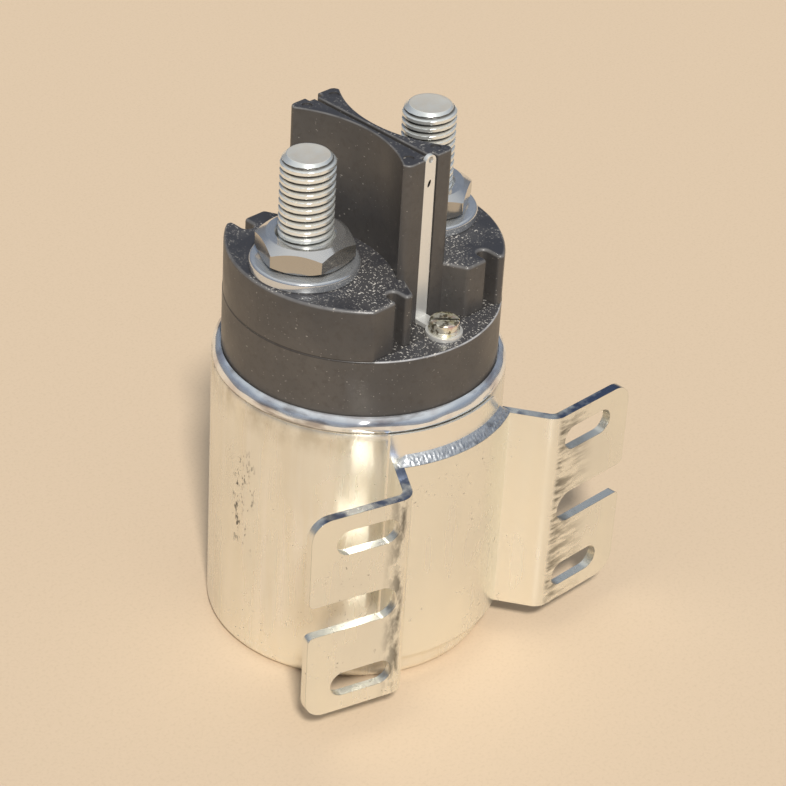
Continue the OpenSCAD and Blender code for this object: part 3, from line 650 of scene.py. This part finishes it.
# ---- Can: drawn shell, round foot, rolled rim with the crease under the roll ----
def make_can():
    radius, top = high("can").x, high("can").z
    wall, lip_wall, floor, foot_r, roll_r, mouth_r = 1.4, 0.7, 1.6, 1.8, 2.2, 25.95
    line, crease, crease_z = 0.07, 0.22, top - RIM_DEPTH
    outer = [(0, 0), (radius - foot_r - 6, 0)] + arc(radius - foot_r, foot_r, foot_r, -90, 0, 10)
    outer += [(radius, foot_r + 0.5), (radius - line, foot_r + 0.85), (radius, foot_r + 1.25)]
    outer += [(radius, crease_z - 1.6), (radius, crease_z - 0.55)]
    outer += [(radius - crease, crease_z - 0.12), (radius - 0.05, crease_z + 0.25)]
    outer += [(radius, top - roll_r)] + arc(radius - roll_r, top - roll_r, roll_r, 8, 72, 14)
    outer += [(mouth_r + 0.12, top - 0.18), (mouth_r, top - 0.35), (mouth_r, top - lip_wall)]
    inner = [(radius - roll_r, top - lip_wall)]
    inner += arc(radius - roll_r, top - roll_r, roll_r - lip_wall, 80, 0, 6)
    inner += [(radius - lip_wall, crease_z), (radius - wall, crease_z), (radius - wall, floor),
              (0, floor)]
    bm = bmesh.new()
    lathe(bm, outer + inner, n=224)
    finish_mesh("can_shell", bm, "can", sharp=40, weighted=False)


# ---- Bracket, its pad and the weld ----
def make_bracket():
    bm = cad_copy("bracket")
    round_edges(bm, width=0.28, steps=3, sharp=30)
    finish_mesh("bracket_plate", bm, "bracket", sharp=34)
    bm = cad_copy("bracket_pad")
    round_edges(bm, width=0.14, steps=2, sharp=40)
    finish_mesh("bracket_pad_plate", bm, "bracket_pad", sharp=34)


def make_weld():
    """Rippled bead along the saddle's top edge, its ends running out."""
    z0 = low("bracket_weld").z
    inner, outer, rise, bulge, half = 27.95, 29.7, 1.6, 0.28, 29.3
    steps, across, ripples, buried = 300, 12, 34, 0.3
    bm = bmesh.new()
    rows = []
    for i in range(steps + 1):
        share = i / steps
        a = math.radians(-90 - half + 2 * half * share)
        fade = min(1, 14 * min(share, 1 - share) + 0.25)
        row = []
        for k in range(across + 1):
            t = k / across
            r = outer + (inner - outer) * t
            z = z0 + (rise * t ** 1.5 + math.sin(math.pi * t) * bulge) * fade
            p = Vector((r * math.cos(a), r * math.sin(a), z))
            ripple = 0.03 * math.sin(share * 2 * math.pi * ripples + 2.2 * t)
            rough = 0.12 * noise.noise(p * 1.6) + 0.07 * noise.noise(p * 4.2)
            lift = (ripple + rough) * math.sin(math.pi * min(1, 0.15 + t)) * fade
            row.append(bm.verts.new((p.x, p.y, max(z0, p.z + lift))))
        for r in (inner, outer):
            row.append(bm.verts.new((r * math.cos(a), r * math.sin(a), z0 - buried)))
        rows.append(row)
    skin(bm, rows)
    bm.faces.new(rows[0])
    bm.faces.new(rows[-1])
    finish_mesh("weld_bead", bm, "bracket_weld", sharp=60, weighted=False)


# ---- Cap: skirt, lobes and divider, each with its own rounded edges ----
def inset(points, distance):
    """The outline, counterclockwise, moved inwards by one distance all round."""
    moved = []
    for i, here in enumerate(points):
        before, after = Vector(points[i - 1]), Vector(points[(i + 1) % len(points)])
        here = Vector(here)
        a, b = (here - before).normalized(), (after - here).normalized()
        na, nb = Vector((-a.y, a.x)), Vector((-b.y, b.x))
        moved.append(here + (na + nb) * (distance / (1 + na.dot(nb))))
    return moved


def fillet(points, radii, steps=6):
    """The outline with some of its corners rounded; radii names them by their place."""
    rounded = []
    for i, here in enumerate(points):
        r = radii.get(i, 0)
        if not r:
            rounded.append(here)
            continue
        before, after = Vector(points[i - 1]), Vector(points[(i + 1) % len(points)])
        here = Vector(here)
        a, b = (before - here).normalized(), (after - here).normalized()
        half = a.angle(b) / 2
        reach = r / math.tan(half)
        centre = here + (a + b).normalized() * (r / math.sin(half))
        start, end = here + a * reach - centre, here + b * reach - centre
        turn = math.atan2(start.cross(end), start.dot(end))
        for k in range(steps + 1):
            c, s = math.cos(turn * k / steps), math.sin(turn * k / steps)
            rounded.append((centre.x + start.x * c - start.y * s,
                            centre.y + start.x * s + start.y * c))
    return rounded


def prism(points, z0, z1, width, steps=5):
    """Upright solid on an outline, its upper edge rounded by width."""
    bm = bmesh.new()
    rings = [[bm.verts.new((x, y, z0)) for x, y in points]]
    for k in range(steps + 1):
        t = math.pi / 2 * k / steps
        level = inset(points, width * (1 - math.cos(t)))
        rings.append([bm.verts.new((x, y, z1 - width + width * math.sin(t))) for x, y in level])
    skin(bm, rings)
    bm.faces.new(list(reversed(rings[0])))
    bm.faces.new(rings[-1])
    return bm


def half_turn(points):
    return [(-x, -y) for x, y in points]


def pocket():
    """Cutter for the hollow on the cap's axis, where the return spring stands."""
    return peg(POCKET_R, 0, 0, CUT_BOTTOM, POCKET_TOP, 64)


def make_cap():
    bottom, top = low("cap").z, high("cap").z
    sunk = RECESS_Z - 0.4  # lobes and divider start inside the skirt

    # Skirt: hollow, with the flange that the can's roll holds
    flange_r, flange_z, flange_top, flange_round = 26.76, 56.4, 56.7, 1.5
    skirt_r, skirt_z, skirt_round = 25.75, 58.16, 0.35
    foot_r, chamber_r, ceiling = 26.02, 23.35, 68.2
    profile = [(chamber_r, bottom), (foot_r, bottom), (foot_r, flange_z), (flange_r, flange_z),
               (flange_r, flange_top)]
    profile += arc(flange_r - flange_round, flange_top, flange_round, 8, 80, 6)
    profile += [(skirt_r, skirt_z)]
    profile += arc(skirt_r - skirt_round, RECESS_Z - skirt_round, skirt_round, 0, 90, 5)
    profile += [(POCKET_R, RECESS_Z), (POCKET_R, ceiling), (chamber_r, ceiling)]
    skirt = bmesh.new()
    lathe(skirt, profile, closed=True, n=256)

    # Lobes: the circle less the two stepped recesses, with a deep notch beside each block
    lobe_r, lip, front, back = 25.66, 14.3, -19.6, -15.28
    notch_r, notch_y, block_x, horn_x = 1.2, -17.4, -9.9, 13.1
    step_x, slope_x, groove_x, groove_y = 7, 4.8, 1.62, -14.08
    bite = [(-math.sqrt(lobe_r ** 2 - front ** 2), front), (block_x - notch_r, front)]
    bite += arc(block_x, notch_y, notch_r, 180, 0, 12) + [(block_x + notch_r, front)]
    bite += [(-step_x, front), (-slope_x, back), (-groove_x, back), (-groove_x, groove_y),
             (groove_x, groove_y), (groove_x, back), (slope_x, back), (step_x, front),
             (horn_x - notch_r, front)]
    bite += arc(horn_x, notch_y, notch_r, 180, 0, 12)
    bite.append((lip, -math.sqrt(lobe_r ** 2 - lip ** 2)))
    a = math.degrees(math.atan2(bite[-1][1], bite[-1][0]))
    b = math.degrees(math.atan2(-bite[0][1], -bite[0][0]))
    outline = bite + arc(0, 0, lobe_r, a + 6, b - 3, 90)
    # Corner radii by the corner's place in the outline
    rounds = {0: 1.0, 1: 0.72, 15: 0.72, 16: 1.0, 23: 1.0, 24: 0.72, 38: 0.85}
    rounds.update({i + len(outline): r for i, r in rounds.items()})
    lobes = prism(fillet(outline + half_turn(outline), rounds), sunk, LOBE_Z, width=0.7)
    stud_holes = [peg(STUD_HOLE_R, x, 0, CUT_BOTTOM, CUT_TOP, 64) for x in (-STUD_X, STUD_X)]
    lobes = carve(lobes, [pocket()] + stud_holes)

    # Divider: two leaves with hollow sides, thick at their ends, a slot between them
    gap, seat_x, seat_y, waist, hollow = 0.4, 1.6, 14.1, 1.25, 24
    end_x, end_y, corner = 5.7, 15.3, 1.35
    pit_r, pit_x, pit_y, pit_depth = 1.0, 3.35, 12.9, 0.25
    core_drop = 20
    centre = waist + hollow
    dip = math.degrees(math.asin(math.sqrt(hollow ** 2 - (centre - end_x) ** 2) / hollow))
    leaf = [(gap, -seat_y), (seat_x, -seat_y), (seat_x, -end_y)]
    leaf += arc(end_x - corner, -end_y + corner, corner, -90, 0, 10)[:-1]
    leaf += arc(centre, 0, hollow, 180 + dip, 180 - dip, 72)
    leaf += arc(end_x - corner, end_y - corner, corner, 0, 90, 10)[1:]
    leaf += [(seat_x, end_y), (seat_x, seat_y), (gap, seat_y)]
    leaves = []
    for outline, sign in ((leaf, 1), (half_turn(leaf), -1)):
        pits = [peg(pit_r, sign * pit_x, y, top - pit_depth, top + 1, 32) for y in (-pit_y, pit_y)]
        leaves.append(carve(prism(outline, sunk, top, width=0.38), pits + [pocket()]))
    core = block((-gap - 0.1, -seat_y + 0.01, sunk), (gap + 0.1, seat_y - 0.01, top - core_drop))
    core = carve(core, [pocket()])
    finish_mesh("cap_moulding", join(skirt, lobes, core, *leaves), "cap", sharp=32)


# ---- Studs with a cut thread ----
def make_stud(node):
    x = (low(node).x + high(node).x) / 2
    bottom, top = low(node).z, high(node).z
    radius, head_r, head_t, ease = 5.0, 7.5, 2.4, 0.2
    pitch, depth, run_out, chamfer, dish = 1.5, 0.72, 0.15, 1.1, 0.1
    columns, levels_a_turn = 112, 20
    bm = bmesh.new()
    rings, root_shades = [], {}

    def cut_at(turns):
        """The thread's section, from 0 on the crest to 1 in the root, over one turn."""
        from_middle = abs((turns % 1.0) - 0.5) * 2
        return min(1, max(0, (0.60 - from_middle) / 0.45))

    def level(z, r, cut=0.0):
        ring = []
        for i in range(columns):
            a = 2 * math.pi * i / columns
            groove = cut_at(z / pitch - i / columns) * cut
            thread_r = r - depth * groove
            tip_r = radius - chamfer + (top - z)
            here = min(thread_r, tip_r)
            v = bm.verts.new((x + here * math.cos(a), here * math.sin(a), z))
            root_shades[v] = groove if thread_r < tip_r else run_out
            ring.append(v)
        rings.append(ring)

    for z, r in ((bottom, head_r - ease), (bottom + ease, head_r), (bottom + head_t - ease, head_r),
                 (bottom + head_t, head_r - ease), (bottom + head_t, radius), (LOBE_Z, radius)):
        level(z, r)
    count = int((top - LOBE_Z) / (pitch / levels_a_turn))
    for k in range(1, count + 1):
        level(LOBE_Z + (top - LOBE_Z) * k / count, radius, min(1, k / levels_a_turn))
    for r, z in ((radius - chamfer - 0.25, top - 0.02), (1.8, top - dish)):
        rings.append([bm.verts.new((x + r * math.cos(2 * math.pi * i / columns),
                                    r * math.sin(2 * math.pi * i / columns), z))
                      for i in range(columns)])
    skin(bm, rings)
    bm.faces.new(rings[-1])
    bm.faces.new(rings[0])
    bm.verts.index_update()
    # Painted shade for each point, deepest in the thread's roots
    values = [root_shades.get(v, 0.1) for v in bm.verts]
    piece = finish_mesh("stud_threaded_" + node.removeprefix("stud_"), bm, node, sharp=50,
                        weighted=False)
    write_painted_shade(piece, values)


# ---- Nuts: hexagons with turned faces ----
def make_nut(name, x, turn):
    z0, z1 = low("stud_nuts").z, high("stud_nuts").z
    flat, face_r, ease, n = 8.0, 7.1, 0.5, 192
    slope = math.tan(math.radians(33))

    def section(a):
        """Half section, from bore to bore, at an angle from a corner of the hexagon."""
        hexagon = flat / math.cos((a % (math.pi / 3)) - math.pi / 6)
        drop = max(0.0, hexagon - face_r) * slope
        return [(STUD_HOLE_R, z0 + ease), (STUD_HOLE_R + ease, z0), (face_r, z0),
                (hexagon, z0 + drop), (hexagon, z1 - drop), (face_r, z1),
                (STUD_HOLE_R + ease, z1), (STUD_HOLE_R, z1 - ease)]

    bm = bmesh.new()
    rings = []
    for k in range(8):
        ring = []
        for i in range(n):
            a = 2 * math.pi * i / n
            r, z = section(a)[k]
            b = a + math.radians(turn)
            ring.append(bm.verts.new((x + r * math.cos(b), r * math.sin(b), z)))
        rings.append(ring)
    skin(bm, rings + rings[:1])
    # The six upright corners are slightly rounded
    bm.normal_update()
    corners = [e for e in bm.edges if e.calc_face_angle(0) > math.radians(50)
               and abs(e.verts[0].co.z - e.verts[1].co.z) > 2]
    bmesh.ops.bevel(bm, geom=corners, offset=0.22, segments=3, profile=0.5, affect="EDGES")
    finish_mesh(name, bm, "stud_nuts", sharp=24, weighted=False)


def make_washer(name, x):
    z0, z1 = low("stud_washers").z, high("stud_washers").z
    r, hole, ease, round_under, round_top = 10.0, 5.3, 0.15, 0.3, 0.62
    profile = [(hole, z0 + ease), (hole + ease, z0)]
    profile += arc(r - round_under, z0 + round_under, round_under, -90, 0, 4)
    profile += arc(r - round_top, z1 - round_top, round_top, 0, 90, 8)
    profile += [(hole + ease, z1), (hole, z1 - ease)]
    bm = bmesh.new()
    lathe(bm, profile, closed=True, n=160, centre=(x, 0))
    finish_mesh(name, bm, "stud_washers", sharp=40, weighted=False)


# ---- Coil terminals ----
def make_screw(name, y, turn):
    foot, top = low("terminal_screws").z, high("terminal_screws").z
    seat = low("terminal_blade").z + BLADE_T
    r, shank, rim, slot_depth, slot_w = 2.85, 1.5, 0.45, 1.0, 0.8
    profile = [(0, foot), (shank - 0.3, foot), (shank, foot + 0.4), (shank, seat), (r - 0.15, seat),
               (r, seat + 0.12), (r, seat + 0.5), (r - 0.14, seat + 0.62)]
    profile += arc(r - 0.54, top - rim, rim, 0, 80, 6) + [(0, top)]
    bm = bmesh.new()
    lathe(bm, profile, n=96, centre=(0, y))
    slot = block((-4, y - slot_w / 2, top - slot_depth), (4, y + slot_w / 2, top + 1), turn, (0, y))
    bm = carve(bm, [slot])
    round_edges(bm, width=0.07, steps=2, sharp=45)
    piece = finish_mesh(name, bm, "terminal_screws", sharp=35)
    # Painted shade on the bottom of the driver slot
    write_painted_shade(piece, [abs(v.co.z / MM - top + slot_depth) < 0.1 for v in piece.data.vertices])


def make_blade():
    """The CAD's blade with a dimple and a slit near its tip, slightly narrower above the bend."""
    narrow, narrow_z = 0.93, 72
    dimple_r, slit_r, slit_stretch = 0.75, 0.34, 2.2
    dimple_at = Vector((0, BLADE_FRONT - 0.45, high("terminal_blade").z - 0.9))
    slit_at = Vector((-0.1, BLADE_FRONT, 98.2))
    tilt = Matrix.Rotation(math.radians(24), 3, "Y")
    dimple = bmesh.new()
    bmesh.ops.create_uvsphere(dimple, u_segments=32, v_segments=16, radius=dimple_r)
    bmesh.ops.translate(dimple, vec=dimple_at, verts=dimple.verts)
    slit = peg(slit_r, 0, 0, -3, 3)
    bmesh.ops.scale(slit, vec=(1, slit_stretch, 1), verts=slit.verts)
    bmesh.ops.rotate(slit, matrix=Matrix.Rotation(math.radians(90), 3, "X"), verts=slit.verts)
    bmesh.ops.rotate(slit, matrix=tilt, verts=slit.verts)
    bmesh.ops.translate(slit, vec=slit_at, verts=slit.verts)
    bm = carve(cad_copy("terminal_blade"), [dimple, slit])
    for v in bm.verts:
        if v.co.z > narrow_z:
            v.co.x *= narrow
    round_edges(bm, width=0.13, steps=2, sharp=40)
    piece = finish_mesh("terminal_blade_strip", bm, "terminal_blade", sharp=34)

    def hollow(p):
        """How much painted shade: 1 in the slit, 0.5 in the dimple and 0 on the faces."""
        from_slit = tilt.inverted() @ (p - slit_at)
        if not BLADE_FRONT + 0.01 < p.y < BLADE_FRONT + BLADE_T - 0.01:
            return 0.0
        if math.hypot(from_slit.x, from_slit.z / slit_stretch) < slit_r * 1.2:
            return 1.0
        return 0.5 if (p - dimple_at).length < dimple_r * 1.02 else 0.0

    write_painted_shade(piece, [hollow(v.co / MM) for v in piece.data.vertices])


# ---- Springs: the CAD's wires, each as a smooth-shaded piece of its own ----
def make_spring(node):
    """The node's wire, as a smooth-shaded piece with a mesh of its own."""
    piece = finish_mesh(node + "_wire", cad_copy(node), node, sharp=50, weighted=False)
    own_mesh(piece)


make_spring("return_spring")
make_spring("contact_spring")
make_can()
make_bracket()
make_weld()
make_cap()
make_stud("stud_left")
make_stud("stud_right")
make_nut("nut_left", -STUD_X, turn=5.5)
make_nut("nut_right", STUD_X, turn=33.7)
make_washer("washer_left", -STUD_X)
make_washer("washer_right", STUD_X)
make_screw("terminal_screw_front", -TERMINAL_Y, turn=-42)
make_screw("terminal_screw_rear", TERMINAL_Y, turn=138)
make_blade()


# ---- Floor and light ----
def make_floor():
    bm = bmesh.new()
    bmesh.ops.create_grid(bm, x_segments=1, y_segments=1, size=3)
    mesh = bpy.data.meshes.new("floor")
    bm.to_mesh(mesh)
    bm.free()
    floor = bpy.data.objects.new("floor", mesh)
    bpy.context.scene.collection.objects.link(floor)
    p = Paint("pale_floor", srgb(217, 194, 166), rough=0.9)
    p.tint(p.ramp(p.noise(500, 3), 0.3, 0.7, 0, 0.25), srgb(212, 190, 160))
    p.tint(p.ramp(p.noise(1500, 2), 0.5, 0.7, 0, 0.3), srgb(200, 176, 146))
    p.bsdf.inputs["Specular IOR Level"].default_value = 0.2
    mesh.materials.append(p.done())


def make_key_light():
    data = bpy.data.lights.new("key", "SUN")
    data.angle = math.radians(7)
    data.energy = 3.2
    data.color = (1.0, 0.97, 0.92)
    light = bpy.data.objects.new("key", data)
    bpy.context.scene.collection.objects.link(light)
    light.rotation_euler = Vector((0.54, 0.66, -0.90)).to_track_quat("-Z", "Y").to_euler()


def make_room():
    """World light: bright overhead, blue-grey and dimmer towards the horizon, grey below."""
    world = bpy.data.worlds.new("studio")
    world.use_nodes = True
    tree = world.node_tree
    coord = tree.nodes.new("ShaderNodeTexCoord")
    split = tree.nodes.new("ShaderNodeSeparateXYZ")
    ramp = tree.nodes.new("ShaderNodeValToRGB")
    tree.links.new(coord.outputs["Generated"], split.inputs[0])
    tree.links.new(split.outputs["Z"], ramp.inputs["Fac"])
    tree.links.new(ramp.outputs["Color"], tree.nodes["Background"].inputs["Color"])
    stops = ramp.color_ramp.elements
    stops[0].color = (0.20, 0.21, 0.23, 1)
    stops[1].position = 0.95
    stops[1].color = (0.86, 0.88, 0.90, 1)
    stops.new(0.5).color = (0.22, 0.28, 0.39, 1)
    stops.new(0.74).color = (0.62, 0.67, 0.73, 1)
    tree.nodes["Background"].inputs["Strength"].default_value = 0.67
    bpy.context.scene.world = world


make_floor()
make_key_light()
make_room()
bpy.context.scene.view_settings.view_transform = "Standard"
